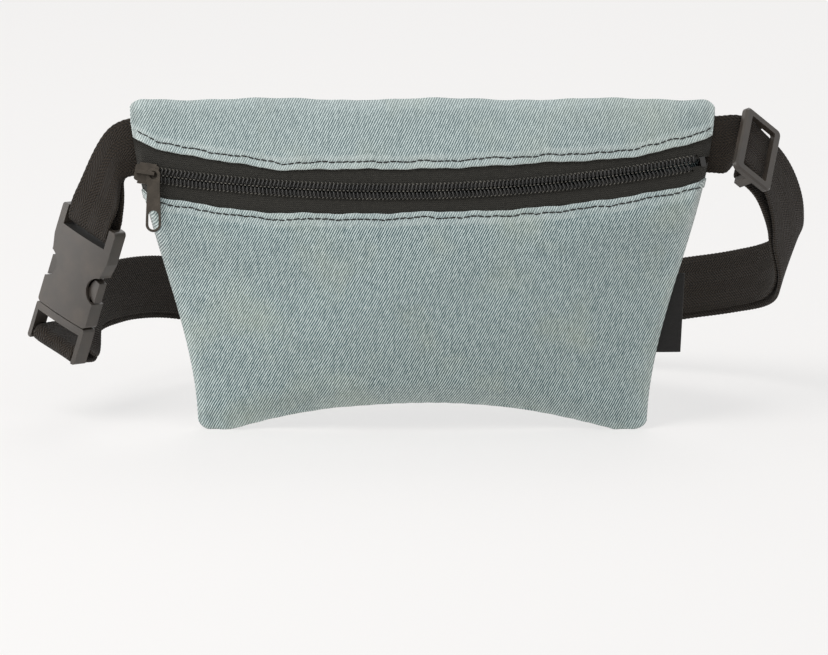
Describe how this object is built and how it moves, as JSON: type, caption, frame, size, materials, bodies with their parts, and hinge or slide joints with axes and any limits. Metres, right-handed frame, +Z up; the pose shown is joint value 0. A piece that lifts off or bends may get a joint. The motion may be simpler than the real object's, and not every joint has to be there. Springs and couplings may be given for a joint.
{
  "type": "waist pack",
  "caption": "Grey-green denim waist pack with a curved front zipper, black webbing belt, side-release buckle, strap slider and side label.",
  "frame": {"origin": "on the floor, below the middle of the object's outline", "axes": "+X to the wearer's left, along the pouch's width; +Y from the pouch's front towards the belt behind it; +Z up"},
  "size_m": [0.3416, 0.1615, 0.148],
  "materials": {
    "denim": "matt twill",
    "zipper_tape": "matt woven tape",
    "zipper_coil": "satin nylon",
    "gunmetal": "satin",
    "webbing": "matt ribbed weave",
    "buckle_plastic": "satin",
    "label_cloth": "matt"
  },
  "bodies": {
    "bag": {"back_panel": "denim", "front_panel": "denim", "top_panel": "denim", "upper_zipper_tape": "zipper_tape", "lower_zipper_tape": "zipper_tape", "upper_coil": "zipper_coil", "lower_coil": "zipper_coil", "zipper_end_stop": "gunmetal", "left_webbing": "webbing", "belt_webbing": "webbing", "buckle_housing": "buckle_plastic", "side_label": "label_cloth"},
    "slider": {"zipper_slider": "gunmetal"},
    "pull": {"slider_pull": "gunmetal"},
    "insert": {"buckle_insert": "buckle_plastic"},
    "prong_l": {"left_prong": "buckle_plastic"},
    "prong_r": {"right_prong": "buckle_plastic"},
    "glide": {"tri_glide": "buckle_plastic", "belt_tail": "webbing"}
  },
  "joints": [
    {"name": "zip_slide", "type": "hinge", "parent": "bag", "child": "slider", "pos_m": [-0.00288, 0.35162, 0.39018], "axis": [-0.0175, -0.5517, 0.8338], "range_deg": [0, 26.4], "deforming": ["upper_coil", "lower_coil"]},
    {"name": "pull_swing", "type": "hinge", "parent": "slider", "child": "pull", "pos_m": [-0.11418, -0.06716, 0.11564], "axis": [-0.1569, -0.9419, 0.297], "range_deg": [-50, 90]},
    {"name": "buckle_release", "type": "slide", "parent": "bag", "child": "insert", "axis": [-0.2729, 0.1599, -0.9487], "range_m": [0, 0.026], "deforming": ["left_prong", "right_prong", "belt_webbing"]},
    {"name": "prong_left", "type": "hinge", "parent": "insert", "child": "prong_l", "pos_m": [-0.1599, -0.036, 0.05293], "axis": [-0.6817, -0.728, 0.0734], "range_deg": [-7, 0], "stiffness_Nm_per_rad": 0.5},
    {"name": "prong_right", "type": "hinge", "parent": "insert", "child": "prong_r", "pos_m": [-0.14551, -0.05013, 0.04641], "axis": [-0.6817, -0.728, 0.0734], "range_deg": [0, 7], "stiffness_Nm_per_rad": 0.5},
    {"name": "glide_slide", "type": "slide", "parent": "bag", "child": "glide", "axis": [0.6612, 0.4208, -0.6211], "range_m": [0, 0.008], "deforming": ["belt_webbing"]}
  ]
}
